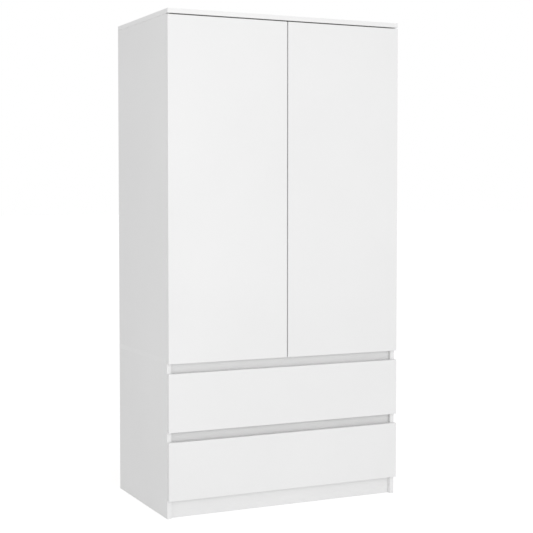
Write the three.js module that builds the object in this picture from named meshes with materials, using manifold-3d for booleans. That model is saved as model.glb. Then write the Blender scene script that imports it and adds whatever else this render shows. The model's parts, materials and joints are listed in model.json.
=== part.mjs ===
// Free-standing wardrobe: two hinged doors over two drawers, with recessed grooves in place of handles.
// Millimetres, +Z up. The fronts face -Y, and the origin is on the floor under the middle of the outer box.
import * as THREE from "three";
import { mergeVertices } from "three/addons/utils/BufferGeometryUtils.js";
import Module from "manifold-3d";

const wasm = await Module();
wasm.setup();

// ---- Driving dimensions -------------------------------------------------------------------------

// Outer box
const WIDTH = 900;
const DEPTH = 525;
const HEIGHT = 1740;

// Boards, and the gap that is left between pieces that touch
const BOARD = 16;
const DRAWER_BOARD = 12;
const HARDBOARD = 3;
const CLEAR = 0.3;
const OVERCUT = 1; // a cutting tool runs this far past the face that it opens

// Fronts, from the floor up: plinth, drawer 2, groove, drawer 1, groove, doors, gap, top panel
const PLINTH_SHOWN = 64;
const DRAWER_FRONT_HEIGHT = 202;
const GROOVE = 34;
const GAP_OVER_DOORS = 4;
const GAP_BETWEEN_DOORS = 4;
const GAP_BEHIND_FRONTS = 2;

// Carcass
const PLINTH_HEIGHT = 60;
const RECESS = 14; // plinth and groove rails, behind the side panels' front edges
const REAR_RAIL_INSET = 10;
const LOWER_RAIL_HEIGHT = 64;
const UPPER_RAIL_HEIGHT = 54;
const HAT_SHELF_HEIGHT = 1500;
const HAT_SHELF_SETBACK = 90;
const BACK_INSET = 2;

// Hanging rail: an oval steel tube in two screwed sockets
const RAIL_DROP = 60; // its middle, under the hat shelf
const RAIL_HIGH = 30;
const RAIL_THICK = 15;
const RAIL_WALL = 1.2;
const SOCKET_WALL = 2.2;
const SOCKET_LENGTH = 14;
const SOCKET_PLATE = 3;
const SOCKET_PLATE_HIGH = 58;
const SOCKET_PLATE_WIDE = 26;

// Concealed hinges. The door turns about a line that lies outside its cups, close to its outer edge.
const HINGE_END = 100; // outer hinges, from the door's ends
const PIVOT_IN = 7; // from the door's outer edge
const PIVOT_BACK = 2; // from the door's front face
const CUP_FROM_EDGE = 22.5;
const CUP_BORE = 17.5;
const CUP_BORE_DEPTH = 12;
const CUP_DEPTH = 11.5; // outside, from the rim's back
const CUP_RADIUS = 17.1;
const CUP_WALL = 1;
const CUP_RIM = 18.6;
const CUP_RIM_THICK = 0.9;
const CUP_WING = 31; // half length of the screwed wings
const CUP_WING_WIDE = 13;

// The link turns on a pin in the arm, and the arm sits on a plate screwed to the side panel.
const LINK_IN = 24; // pin, from the side panel's outer face
const LINK_BACK = 22; // pin, from the doors' front plane
const LINK_SWING = 110.7; // degrees, while the door opens by 105
const LINK_THICK = 4;
const LINK_HALF = 5;
const LINK_EYE = 3.8;
const LINK_STEPS = 12;
const LINK_ROUTE = [ // the bent strip's middle line from its pin, as it lies with the door open
  [0, 0],
  [1.6, -12],
  [1.8, -21],
  [-2.5, -30],
  [-9, -34],
];
const PIN_RADIUS = 1.5;
const PIN_HOLE = 1.9;
const STEEL = 1.2;
const ARM_REACH = 64;
const ARM_FLANGE = 14;
const ARM_WEB_IN = 9; // web's face, from the pin
const ARM_THROAT = 15; // web's front end, behind the pin
const PLATE_THICK = 2;
const PLATE_LENGTH = 42;
const PLATE_WING = 25;
const PLATE_BLOCK_INSET = 8; // the block between plate and arm, from the plate's ends

// Drawer boxes and their two-member ball-bearing slides
const BOX_LENGTH = 400;
const BOX_HEIGHT = 140;
const BOX_UP = 28; // box underside, from the underside of the drawer front
const SLIDE_SPACE = 12.7;
const BOTTOM_UP = 10;
const BOTTOM_GROOVE = 6;
const SLIDE_UP = 50; // slide's middle, from the box underside
const SLIDE_HALF = 17.5;
const SLIDE_WRAP = 10;
const INNER_HALF = 12;
const INNER_WRAP = 8.4;
const CABINET_RUNNER_SETBACK = 2; // from the side panels' front edges
const DRAWER_RUNNER_SETBACK = 0.5;
const CAGE_LENGTH = 110;
const CAGE_SETBACK = 145; // half of the drawer's travel, so that the cage stays between the members
const CAGE_PLATE = 0.8;
const CAGE_GAP = 0.8; // cage's web, from the cabinet runner's
const CAGE_LIP = 2.5; // cage's wings, past the balls' centres
const BALL_OUT = 4.5; // balls' centres, from the cage's web
const BALL_RADIUS = 1.85;
const BALLS = 5; // in each of the two rows

// Facets around a full turn
const SEGMENTS = 32;
const EYE_SEGMENTS = 20;
const PIN_SEGMENTS = 16;
const BALL_SEGMENTS = [8, 6];

// ---- Levels and planes --------------------------------------------------------------------------

const SIDE = WIDTH / 2;
const FRONT = -DEPTH / 2;
const BACK = DEPTH / 2;
const FRONTS_BACK = FRONT + BOARD;
const EDGE_FRONT = FRONTS_BACK + GAP_BEHIND_FRONTS;
const EDGE_BACK = BACK - HARDBOARD - CLEAR;
const INNER = SIDE - BOARD;
const SPAN = INNER - CLEAR;
const RAIL_FACE = EDGE_FRONT + RECESS;

const DRAWER_2_BOTTOM = PLINTH_SHOWN;
const DRAWER_1_BOTTOM = DRAWER_2_BOTTOM + DRAWER_FRONT_HEIGHT + GROOVE;
const DOOR_BOTTOM = DRAWER_1_BOTTOM + DRAWER_FRONT_HEIGHT + GROOVE;
const TOP_UNDERSIDE = HEIGHT - BOARD;
const DOOR_TOP = TOP_UNDERSIDE - GAP_OVER_DOORS;

// ---- Shape helpers ------------------------------------------------------------------------------

// A box given by its lowest and highest corners.
function block(low, high) {
  const size = low.map((v, i) => high[i] - v);
  const middle = low.map((v, i) => (high[i] + v) / 2);
  return new THREE.BoxGeometry(...size).translate(...middle);
}

// A 2-D outline pushed along one axis. On Y it is drawn in X and Z, on X in Y and Z, on Z in X and Y.
const DIRECTIONS = {
  x: [new THREE.Vector3(0, 1, 0), new THREE.Vector3(0, 0, 1), new THREE.Vector3(1, 0, 0)],
  y: [new THREE.Vector3(1, 0, 0), new THREE.Vector3(0, 0, 1), new THREE.Vector3(0, -1, 0)],
  z: [new THREE.Vector3(1, 0, 0), new THREE.Vector3(0, 1, 0), new THREE.Vector3(0, 0, 1)],
};

function pushed(outline, axis, from, to, curveSegments = 8) {
  const geometry = new THREE.ExtrudeGeometry(outline, {
    depth: to - from,
    bevelEnabled: false,
    curveSegments,
  });
  geometry.applyMatrix4(new THREE.Matrix4().makeBasis(...DIRECTIONS[axis]));
  const start = { x: [from, 0, 0], y: [0, to, 0], z: [0, 0, from] }[axis];
  return geometry.translate(...start);
}

function polygon(points) {
  return new THREE.Shape(points.map(([u, v]) => new THREE.Vector2(u, v)));
}

// An upright oval with round ends, about (u, v).
function oval(u, v, wide, high, Outline = THREE.Shape) {
  const r = wide / 2;
  const straight = high / 2 - r;
  const outline = new Outline();
  outline.absarc(u, v + straight, r, 0, Math.PI, false);
  outline.absarc(u, v - straight, r, Math.PI, 2 * Math.PI, false);
  outline.closePath();
  return outline;
}

function cylinder(radius, axis, centre, length, segments = SEGMENTS) {
  const geometry = new THREE.CylinderGeometry(radius, radius, length, segments);
  if (axis === "z") geometry.rotateX(Math.PI / 2);
  return geometry.translate(...centre);
}

// Boolean joins and cuts
function solid(geometry) {
  const bare = geometry.index ? geometry.toNonIndexed() : geometry.clone();
  bare.deleteAttribute("normal");
  bare.deleteAttribute("uv");
  const merged = mergeVertices(bare, 1e-4);
  return new wasm.Manifold(
    new wasm.Mesh({
      numProp: 3,
      vertProperties: merged.attributes.position.array,
      triVerts: new Uint32Array(merged.index.array),
    }),
  );
}

function geometryOf(made) {
  const mesh = made.getMesh();
  const geometry = new THREE.BufferGeometry();
  geometry.setAttribute("position", new THREE.BufferAttribute(mesh.vertProperties, 3));
  geometry.setIndex(new THREE.BufferAttribute(mesh.triVerts, 1));
  const faceted = geometry.toNonIndexed();
  faceted.computeVertexNormals();
  return faceted;
}

function joined(...geometries) {
  return geometryOf(geometries.map(solid).reduce((a, b) => a.add(b)));
}

function cut(geometry, ...tools) {
  return geometryOf(tools.map(solid).reduce((a, b) => a.subtract(b), solid(geometry)));
}

// ---- Finishes -----------------------------------------------------------------------------------

const FINISHES = {
  melamine: { color: 0xf1f1ef, roughness: 0.42, metalness: 0 },
  hardboard: { color: 0xe6e3dc, roughness: 0.7, metalness: 0 },
  chrome: { color: 0xc9cbce, roughness: 0.18, metalness: 1 },
  nickel: { color: 0xb4b2ac, roughness: 0.3, metalness: 1 },
  zinc: { color: 0xaab0b5, roughness: 0.38, metalness: 1 },
  retainer: { color: 0x3c3e40, roughness: 0.5, metalness: 0.2 },
  plastic: { color: 0xeeeeec, roughness: 0.5, metalness: 0 },
};

const wardrobe = new THREE.Group();
wardrobe.name = "wardrobe";

function add(name, geometry, finish, parent = wardrobe) {
  const mesh = new THREE.Mesh(geometry, new THREE.MeshStandardMaterial(FINISHES[finish]));
  mesh.name = name;
  parent.add(mesh);
  return mesh;
}

// The right-hand piece is the left-hand one mirrored in the wardrobe's middle plane.
function addPair(name, geometry, finish) {
  add("left_" + name, geometry, finish);
  add("right_" + name, geometry, finish).scale.x = -1;
}

// ---- Carcass ------------------------------------------------------------------------------------

// The deck panel and the top panel run through to the outer faces, and the side panels stand between them.
function addCarcass() {
  const deckTop = DOOR_BOTTOM + BOARD;
  addSides("side_panel_lower", 0, DOOR_BOTTOM - CLEAR);
  addSides("side_panel_upper", deckTop + CLEAR, TOP_UNDERSIDE - CLEAR);
  add("deck_panel", block([-SIDE, EDGE_FRONT, DOOR_BOTTOM], [SIDE, EDGE_BACK, deckTop]), "melamine");
  add("top_panel", block([-SIDE, FRONT, TOP_UNDERSIDE], [SIDE, EDGE_BACK, HEIGHT]), "melamine");
  addShelf("bottom_panel", PLINTH_HEIGHT, EDGE_FRONT);
  addShelf("hat_shelf", HAT_SHELF_HEIGHT, EDGE_FRONT + HAT_SHELF_SETBACK);

  const groove = DRAWER_1_BOTTOM - GROOVE / 2;
  const rearFace = EDGE_BACK - REAR_RAIL_INSET - BOARD;
  addRail("plinth_board", RAIL_FACE, 0, PLINTH_HEIGHT - CLEAR);
  addRail("rear_plinth_rail", rearFace, 0, PLINTH_HEIGHT - CLEAR);
  addRail("lower_groove_rail", RAIL_FACE, groove - LOWER_RAIL_HEIGHT / 2, groove + LOWER_RAIL_HEIGHT / 2);
  addRail("upper_groove_rail", RAIL_FACE, DOOR_BOTTOM - UPPER_RAIL_HEIGHT, DOOR_BOTTOM - CLEAR);

  const seam = DOOR_BOTTOM + BOARD / 2; // both sheets are nailed to the deck panel's back edge
  addBack("back_panel_lower", BACK_INSET, seam - CLEAR);
  addBack("back_panel_upper", seam, HEIGHT - BACK_INSET);
}

function addSides(name, underside, top) {
  addPair(name, block([-SIDE, EDGE_FRONT, underside], [-INNER, EDGE_BACK, top]), "melamine");
}

// A level board between the side panels.
function addShelf(name, underside, front) {
  add(name, block([-SPAN, front, underside], [SPAN, EDGE_BACK, underside + BOARD]), "melamine");
}

// An upright cross board between the side panels.
function addRail(name, face, underside, top) {
  add(name, block([-SPAN, face, underside], [SPAN, face + BOARD, top]), "melamine");
}

function addBack(name, underside, top) {
  const half = SIDE - BACK_INSET;
  add(name, block([-half, BACK - HARDBOARD, underside], [half, BACK, top]), "hardboard");
}

function addHangingRail() {
  const height = HAT_SHELF_HEIGHT - RAIL_DROP;
  const depth = (EDGE_FRONT + EDGE_BACK) / 2;
  const tube = oval(depth, height, RAIL_THICK, RAIL_HIGH);
  tube.holes.push(oval(depth, height, RAIL_THICK - 2 * RAIL_WALL, RAIL_HIGH - 2 * RAIL_WALL, THREE.Path));
  const end = SPAN - SOCKET_PLATE - CLEAR;
  add("hanging_rail", pushed(tube, "x", -end, end), "chrome");

  const hole = [RAIL_THICK + 2 * CLEAR, RAIL_HIGH + 2 * CLEAR];
  const [wide, high] = hole.map((v) => v + 2 * SOCKET_WALL);
  const collar = oval(depth, height, wide, high);
  collar.holes.push(oval(depth, height, ...hole, THREE.Path));
  const plate = oval(depth, height, SOCKET_PLATE_WIDE, SOCKET_PLATE_HIGH);
  const socket = joined(
    pushed(collar, "x", -SPAN + SOCKET_PLATE / 2, -SPAN + SOCKET_LENGTH),
    pushed(plate, "x", -SPAN, -SPAN + SOCKET_PLATE),
  );
  addPair("rail_socket", socket, "nickel");
}

// ---- Doors and hinges ---------------------------------------------------------------------------

const HINGES = {
  lower: DOOR_BOTTOM + HINGE_END,
  middle: (DOOR_BOTTOM + DOOR_TOP) / 2,
  upper: DOOR_TOP - HINGE_END,
};
const CUP_X = -SIDE + CUP_FROM_EDGE;
const LINK_X = -SIDE + LINK_IN;
const LINK_Y = FRONT + LINK_BACK;

function addDoors() {
  const bores = Object.values(HINGES).map((z) => {
    const middle = FRONTS_BACK + (OVERCUT - CUP_BORE_DEPTH) / 2;
    return cylinder(CUP_BORE, "y", [CUP_X, middle, z], CUP_BORE_DEPTH + OVERCUT);
  });
  const panel = block([-SIDE, FRONT, DOOR_BOTTOM], [-GAP_BETWEEN_DOORS / 2, FRONTS_BACK, DOOR_TOP]);
  addPair("door_panel", cut(panel, ...bores), "melamine");
  for (const [level, z] of Object.entries(HINGES)) {
    addPair(level + "_hinge_cup", hingeCup(z), "nickel");
    addPair(level + "_hinge_link", hingeLink(z), "nickel");
    addPair(level + "_hinge_arm", hingeArm(z), "nickel");
  }
}

// A pressed cup with a rim and two wings, in its bore in the door's back.
function hingeCup(z) {
  const mouth = FRONTS_BACK + CLEAR + CUP_RIM_THICK;
  const inside = CUP_RADIUS - CUP_WALL;
  const profile = [
    [0, -CUP_DEPTH],
    [CUP_RADIUS, -CUP_DEPTH],
    [CUP_RADIUS, -CUP_RIM_THICK],
    [CUP_RIM, -CUP_RIM_THICK],
    [CUP_RIM, 0],
    [inside, 0],
    [inside, CUP_WALL - CUP_DEPTH],
    [0, CUP_WALL - CUP_DEPTH],
  ];
  const points = profile.map(([r, y]) => new THREE.Vector2(r, y));
  const cup = new THREE.LatheGeometry(points, SEGMENTS).translate(CUP_X, mouth, z);
  const wings = pushed(
    oval(CUP_X, z, CUP_WING_WIDE, 2 * CUP_WING),
    "y",
    mouth - CUP_RIM_THICK,
    mouth,
  );
  const middle = cylinder(inside + CUP_WALL / 2, "y", [CUP_X, mouth, z], 2 * (CUP_RIM_THICK + OVERCUT));
  return joined(cup, cut(wings, middle));
}

// The link is drawn as it lies with the door open, then turned back about its pin to the closed door.
function hingeLink(z) {
  const route = new THREE.SplineCurve(LINK_ROUTE.map(([x, y]) => new THREE.Vector2(x, y)));
  const edge = (offset) => (_, i) => {
    const along = route.getTangent(i / LINK_STEPS);
    const outward = new THREE.Vector2(-along.y, along.x).multiplyScalar(offset);
    return route.getPoint(i / LINK_STEPS).add(outward);
  };
  const near = Array.from({ length: LINK_STEPS + 1 }, edge(LINK_THICK / 2));
  const far = Array.from({ length: LINK_STEPS + 1 }, edge(-LINK_THICK / 2)).reverse();
  const strip = pushed(new THREE.Shape([...near, ...far]), "z", -LINK_HALF, LINK_HALF);
  const eye = cylinder(LINK_EYE, "z", [0, 0, 0], 2 * LINK_HALF, EYE_SEGMENTS);
  const hole = cylinder(PIN_HOLE, "z", [0, 0, 0], 2 * (LINK_HALF + OVERCUT), PIN_SEGMENTS);
  return cut(joined(strip, eye), hole)
    .rotateZ(THREE.MathUtils.degToRad(LINK_SWING))
    .translate(LINK_X, LINK_Y, z);
}

// A channel arm with the link's pin, on its mounting plate.
function hingeArm(z) {
  const web = LINK_X + ARM_WEB_IN;
  const front = LINK_Y - LINK_EYE;
  const back = front + ARM_REACH;
  const plateFront = back - PLATE_LENGTH;
  const inside = LINK_HALF + CLEAR;
  const upright = (low, high, half) => block([low[0], low[1], z - half], [high[0], high[1], z + half]);
  const flange = (low) => block([web - ARM_FLANGE, front, low], [web, back, low + STEEL]);
  return joined(
    flange(z + inside),
    flange(z - inside - STEEL),
    upright([web - STEEL, LINK_Y + ARM_THROAT], [web, back], inside + STEEL),
    cylinder(PIN_RADIUS, "z", [LINK_X, LINK_Y, z], 2 * (inside + STEEL), PIN_SEGMENTS),
    upright(
      [-SPAN, plateFront + PLATE_BLOCK_INSET],
      [web - STEEL / 2, back - PLATE_BLOCK_INSET],
      inside + STEEL / 2,
    ),
    upright([-SPAN, plateFront], [-SPAN + PLATE_THICK, back], PLATE_WING),
  );
}

// ---- Drawers and slides -------------------------------------------------------------------------

const BOX_SIDE = INNER - SLIDE_SPACE; // outer face of a drawer box
const BOX_INNER = BOX_SIDE - DRAWER_BOARD;
const BOX_FRONT = FRONTS_BACK + CLEAR;
const BOX_BACK = BOX_FRONT + BOX_LENGTH;
const BOTTOM_EDGE = BOX_INNER + BOTTOM_GROOVE - CLEAR;

function addDrawer(name, frontBottom) {
  const under = frontBottom + BOX_UP;
  const top = under + BOX_HEIGHT;
  const bottom = under + BOTTOM_UP;
  const bottomTop = bottom + HARDBOARD;

  const front = block([-SIDE, FRONT, frontBottom], [SIDE, FRONTS_BACK, frontBottom + DRAWER_FRONT_HEIGHT]);
  const frontGroove = block(
    [-BOTTOM_EDGE - CLEAR, FRONTS_BACK - BOTTOM_GROOVE, bottom - CLEAR],
    [BOTTOM_EDGE + CLEAR, FRONTS_BACK + OVERCUT, bottomTop + CLEAR],
  );
  add(name + "_front", cut(front, frontGroove), "melamine");
  add(name + "_back", backOf(bottomTop, top), "melamine");
  add(name + "_bottom", bottomOf(bottom, bottomTop), "hardboard");

  const section = drawerSideSection(under, top, bottom - CLEAR, bottomTop + CLEAR);
  const side = pushed(section, "y", BOX_FRONT, BOX_BACK);
  const slide = under + SLIDE_UP;
  const pieces = {
    side: [side, "melamine"],
    cabinet_runner: [cabinetRunner(slide), "zinc"],
    drawer_runner: [drawerRunner(slide), "zinc"],
    ball_cage: [ballCage(slide), "retainer"],
  };
  for (const [piece, [geometry, finish]] of Object.entries(pieces)) {
    add(name + "_left_" + piece, geometry, finish);
    add(name + "_right_" + piece, geometry, finish).scale.x = -1;
  }
}

function backOf(underside, top) {
  const half = BOX_INNER - CLEAR;
  return block([-half, BOX_BACK - DRAWER_BOARD, underside + CLEAR], [half, BOX_BACK, top]);
}

function bottomOf(underside, top) {
  const front = FRONTS_BACK - BOTTOM_GROOVE + CLEAR;
  return block([-BOTTOM_EDGE, front, underside], [BOTTOM_EDGE, BOX_BACK, top]);
}

// A left-hand drawer side seen from the front, grooved on its inner face for the bottom.
function drawerSideSection(under, top, grooveLow, grooveHigh) {
  const groove = -BOX_INNER - BOTTOM_GROOVE;
  return polygon([
    [-BOX_SIDE, under],
    [-BOX_INNER, under],
    [-BOX_INNER, grooveLow],
    [groove, grooveLow],
    [groove, grooveHigh],
    [-BOX_INNER, grooveHigh],
    [-BOX_INNER, top],
    [-BOX_SIDE, top],
  ]);
}

// A channel section that opens towards +X when wrap is positive.
function channel(web, z, half, wrap) {
  const wall = Math.sign(wrap) * STEEL;
  const points = [
    [web, z - half],
    [web + wrap, z - half],
    [web + wrap, z - half + STEEL],
    [web + wall, z - half + STEEL],
    [web + wall, z + half - STEEL],
    [web + wrap, z + half - STEEL],
    [web + wrap, z + half],
    [web, z + half],
  ];
  return polygon(wrap > 0 ? points : points.reverse());
}

function cabinetRunner(z) {
  const front = EDGE_FRONT + CABINET_RUNNER_SETBACK;
  return pushed(channel(-SPAN, z, SLIDE_HALF, SLIDE_WRAP), "y", front, front + BOX_LENGTH);
}

function drawerRunner(z) {
  const front = EDGE_FRONT + DRAWER_RUNNER_SETBACK;
  return pushed(channel(-BOX_SIDE - CLEAR, z, INNER_HALF, -INNER_WRAP), "y", front, BOX_BACK);
}

// The strip that holds the balls apart, between the two members of a slide. It opens towards +X.
function ballCage(z) {
  const web = -SPAN + STEEL + CAGE_GAP;
  const row = (INNER_HALF + SLIDE_HALF - STEEL) / 2;
  const front = EDGE_FRONT + CABINET_RUNNER_SETBACK + CAGE_SETBACK + CLEAR;
  const half = row + CAGE_PLATE / 2;
  const ballX = web + BALL_OUT;
  const strip = (low, high) => block([low[0], front, low[1]], [high[0], front + CAGE_LENGTH, high[1]]);
  const wing = (middle) => {
    return strip([web, middle - CAGE_PLATE / 2], [ballX + CAGE_LIP, middle + CAGE_PLATE / 2]);
  };
  const spacing = CAGE_LENGTH / BALLS;
  const balls = [];
  for (let i = 0; i < BALLS; i++) {
    const y = front + spacing * (i + 0.5);
    balls.push(ball(ballX, y, z - row), ball(ballX, y, z + row));
  }
  const plate = strip([web, z - half], [web + CAGE_PLATE, z + half]);
  return joined(plate, wing(z - row), wing(z + row), ...balls);
}

function ball(x, y, z) {
  return new THREE.SphereGeometry(BALL_RADIUS, ...BALL_SEGMENTS).translate(x, y, z);
}

// ---- The assembly -------------------------------------------------------------------------------

addCarcass();
addHangingRail();
addDoors();
addDrawer("drawer_1", DRAWER_1_BOTTOM);
addDrawer("drawer_2", DRAWER_2_BOTTOM);

export default wardrobe;
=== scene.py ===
"""The looks of a white wardrobe with two doors and two drawers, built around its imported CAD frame.

Metres, +Z up. The fronts face -Y.
"""

import json
import math

import bmesh
import bpy
from mathutils import Matrix, Vector

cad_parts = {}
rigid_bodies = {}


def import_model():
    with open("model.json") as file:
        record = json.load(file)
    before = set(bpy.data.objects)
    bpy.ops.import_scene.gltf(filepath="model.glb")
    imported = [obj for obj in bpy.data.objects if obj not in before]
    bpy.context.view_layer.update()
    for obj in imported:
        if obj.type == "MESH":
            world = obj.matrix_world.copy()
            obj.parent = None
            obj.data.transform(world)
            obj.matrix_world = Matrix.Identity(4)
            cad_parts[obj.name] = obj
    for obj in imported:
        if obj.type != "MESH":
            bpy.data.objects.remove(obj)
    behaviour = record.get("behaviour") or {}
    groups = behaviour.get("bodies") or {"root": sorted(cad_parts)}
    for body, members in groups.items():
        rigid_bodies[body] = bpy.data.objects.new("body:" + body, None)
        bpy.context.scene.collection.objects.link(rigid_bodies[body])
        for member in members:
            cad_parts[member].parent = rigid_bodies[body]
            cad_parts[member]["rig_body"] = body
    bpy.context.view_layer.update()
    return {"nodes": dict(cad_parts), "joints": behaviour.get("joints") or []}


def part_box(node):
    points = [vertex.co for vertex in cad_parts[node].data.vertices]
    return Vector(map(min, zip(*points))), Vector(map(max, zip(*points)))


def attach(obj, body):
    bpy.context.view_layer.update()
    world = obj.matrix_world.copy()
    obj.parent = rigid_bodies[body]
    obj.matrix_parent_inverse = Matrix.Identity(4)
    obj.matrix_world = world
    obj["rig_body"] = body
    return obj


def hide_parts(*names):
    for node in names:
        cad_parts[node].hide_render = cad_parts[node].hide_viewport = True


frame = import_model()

MM = 0.001
STEEL = 1.2 * MM  # thickness of the sheet that the hinge arms and the slides' channels are made from
NODES = frame["nodes"]
SIDES = {"left": -1, "right": 1}
X, Y, Z = Vector((1, 0, 0)), Vector((0, 1, 0)), Vector((0, 0, 1))

# ---- Camera, light and floor --------------------------------------------------------------------

CAMERA_PLACE = (-1.945, -4.204, 1.113)
CAMERA_TURN = 25.29  # degrees, from +Y towards +X
CAMERA_TILT = 2.45  # degrees below the horizon
LENS = 83.96
SENSOR = 36
SHIFT_Y = -0.035

SKY = 0.74  # how bright the sky is as a light; the camera sees it white
FLOOR_GLOW = 0.27  # as the object is lit by it
FLOOR_SHOWN_SHADE = 0.35  # as the camera sees it
FLOOR_SHOWN_GLOW = 0.77
FLOOR_SHADE = 0.5
FLOOR_REACH = 60
FLOOR_DROP = 0.2 * MM
AIM = (0, -0.26, 0.9)
# Soft boxes: where each stands, its width and height, and its power in watts
SOFT_BOXES = {
    "key": ((-2.4, -4.9, 1.0), (2.4, 2.4), 64),
    "front": ((0.8, -5.1, 2.2), (2.4, 2.4), 31),
}


def make_camera():
    data = bpy.data.cameras.new("camera")
    data.lens = LENS
    data.sensor_width = SENSOR
    data.shift_y = SHIFT_Y
    data.clip_end = 200
    camera = bpy.data.objects.new("camera", data)
    bpy.context.scene.collection.objects.link(camera)
    camera.location = CAMERA_PLACE
    camera.rotation_euler = (math.radians(90 - CAMERA_TILT), 0, math.radians(-CAMERA_TURN))
    bpy.context.scene.camera = camera


def make_sky():
    """A sky that lights softly, and that the camera sees as plain white."""
    world = bpy.data.worlds.new("studio")
    bpy.context.scene.world = world
    world.use_nodes = True
    nodes, links = world.node_tree.nodes, world.node_tree.links
    nodes.clear()
    soft, white = nodes.new("ShaderNodeBackground"), nodes.new("ShaderNodeBackground")
    soft.inputs["Strength"].default_value = SKY
    for background in (soft, white):
        background.inputs["Color"].default_value = (1, 1, 1, 1)
    seen, mix = nodes.new("ShaderNodeLightPath"), nodes.new("ShaderNodeMixShader")
    out = nodes.new("ShaderNodeOutputWorld")
    links.new(seen.outputs["Is Camera Ray"], mix.inputs["Fac"])
    links.new(soft.outputs[0], mix.inputs[1])
    links.new(white.outputs[0], mix.inputs[2])
    links.new(mix.outputs[0], out.inputs["Surface"])


def make_soft_boxes():
    for name, (place, (width, height), power) in SOFT_BOXES.items():
        data = bpy.data.lights.new(name, "AREA")
        data.shape = "RECTANGLE"
        data.size, data.size_y = width, height
        data.energy = power
        box = bpy.data.objects.new(name, data)
        bpy.context.scene.collection.objects.link(box)
        box.location = place
        box.rotation_euler = (Vector(AIM) - Vector(place)).to_track_quat("-Z", "Y").to_euler()


def make_floor():
    """A pale studio floor. The camera sees it nearly white, with the shadows on it kept faint."""
    bpy.ops.mesh.primitive_plane_add(size=2 * FLOOR_REACH, location=(0, 0, -FLOOR_DROP))
    floor = bpy.context.active_object
    floor.name = "studio_floor"
    tree = Tree("studio_floor_paint")
    shown = tree.nodes.new("ShaderNodeBsdfPrincipled")
    shaders = ((tree.shader, FLOOR_SHADE, FLOOR_GLOW), (shown, FLOOR_SHOWN_SHADE, FLOOR_SHOWN_GLOW))
    for shader, shade, glow in shaders:
        shader.inputs["Base Color"].default_value = (*grey(shade), 1)
        shader.inputs["Roughness"].default_value = 0.9
        shader.inputs["Specular IOR Level"].default_value = 0.1
        shader.inputs["Emission Color"].default_value = (1, 1, 1, 1)
        shader.inputs["Emission Strength"].default_value = glow
    seen, mix = tree.nodes.new("ShaderNodeLightPath"), tree.nodes.new("ShaderNodeMixShader")
    tree.links.new(seen.outputs["Is Camera Ray"], mix.inputs["Fac"])
    tree.links.new(tree.shader.outputs["BSDF"], mix.inputs[1])
    tree.links.new(shown.outputs["BSDF"], mix.inputs[2])
    tree.links.new(mix.outputs[0], tree.nodes["Material Output"].inputs["Surface"])
    floor.data.materials.append(tree.material)


# ---- Materials ----------------------------------------------------------------------------------


class Tree:
    """A material with a Principled shader, and short ways to add the textures that drive it."""

    def __init__(self, name):
        self.material = bpy.data.materials.new(name)
        self.material.use_nodes = True
        self.nodes = self.material.node_tree.nodes
        self.links = self.material.node_tree.links
        self.shader = self.nodes["Principled BSDF"]
        self.place = self.nodes.new("ShaderNodeTexCoord").outputs["Object"]

    def set(self, **values):
        for name, value in values.items():
            self.shader.inputs[name.replace("_", " ")].default_value = value

    def feed(self, socket, source):
        self.links.new(source, self.shader.inputs[socket])

    def scaled(self, scale):
        """The piece's own coordinates, stretched along each axis."""
        node = self.nodes.new("ShaderNodeMapping")
        node.inputs["Scale"].default_value = scale
        self.links.new(self.place, node.inputs["Vector"])
        return node.outputs["Vector"]

    def noise(self, scale, detail=2, roughness=0.5, place=None):
        node = self.nodes.new("ShaderNodeTexNoise")
        node.inputs["Scale"].default_value = scale
        node.inputs["Detail"].default_value = detail
        node.inputs["Roughness"].default_value = roughness
        self.links.new(place or self.place, node.inputs["Vector"])
        return node.outputs["Fac"]

    def cells(self, scale):
        """How far each point is from the middle of its cell."""
        node = self.nodes.new("ShaderNodeTexVoronoi")
        node.inputs["Scale"].default_value = scale
        self.links.new(self.place, node.inputs["Vector"])
        return node.outputs["Distance"]

    def ramp(self, source, *stops):
        node = self.nodes.new("ShaderNodeValToRGB")
        elements = node.color_ramp.elements
        while len(elements) < len(stops):
            elements.new(0.5)
        for element, (position, colour) in zip(elements, stops):
            element.position = position
            element.color = (*colour, 1)
        self.links.new(source, node.inputs["Fac"])
        return node.outputs["Color"]

    def spread(self, source, low, high):
        """Maps 0 to 1 onto low to high."""
        node = self.nodes.new("ShaderNodeMapRange")
        node.inputs["To Min"].default_value = low
        node.inputs["To Max"].default_value = high
        self.links.new(source, node.inputs["Value"])
        return node.outputs["Result"]

    def bump(self, source, height):
        """Raises the surface by up to height, on top of any bumps it already has."""
        node = self.nodes.new("ShaderNodeBump")
        node.inputs["Strength"].default_value = 1
        node.inputs["Distance"].default_value = height
        if self.shader.inputs["Normal"].is_linked:
            self.links.new(self.shader.inputs["Normal"].links[0].from_socket, node.inputs["Normal"])
        self.links.new(source, node.inputs["Height"])
        self.feed("Normal", node.outputs["Normal"])


def grey(level, warmth=0.0):
    """A grey. Warmth takes that much blue out of it, and half as much green."""
    return (level, level - warmth / 2, level - warmth)


def melamine():
    """Melamine-faced board: a satin white with a fine pearl in the surface."""
    tree = Tree("white_melamine")
    tree.feed("Base Color", tree.ramp(tree.noise(2.2), (0.3, grey(0.835)), (0.7, grey(0.855))))
    tree.feed("Roughness", tree.spread(tree.noise(14, detail=3), 0.4, 0.5))
    tree.bump(tree.noise(260, detail=3, roughness=0.6), 0.02 * MM)
    tree.bump(tree.noise(900, detail=1), 0.01 * MM)
    return tree.material


def edge_band():
    """ABS edging: a little glossier and finer than the board's face."""
    tree = Tree("edge_band")
    tree.feed("Base Color", tree.ramp(tree.noise(6), (0.3, grey(0.85)), (0.7, grey(0.87))))
    tree.feed("Roughness", tree.spread(tree.noise(40), 0.28, 0.36))
    tree.bump(tree.noise(900), 0.008 * MM)
    return tree.material


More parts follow.
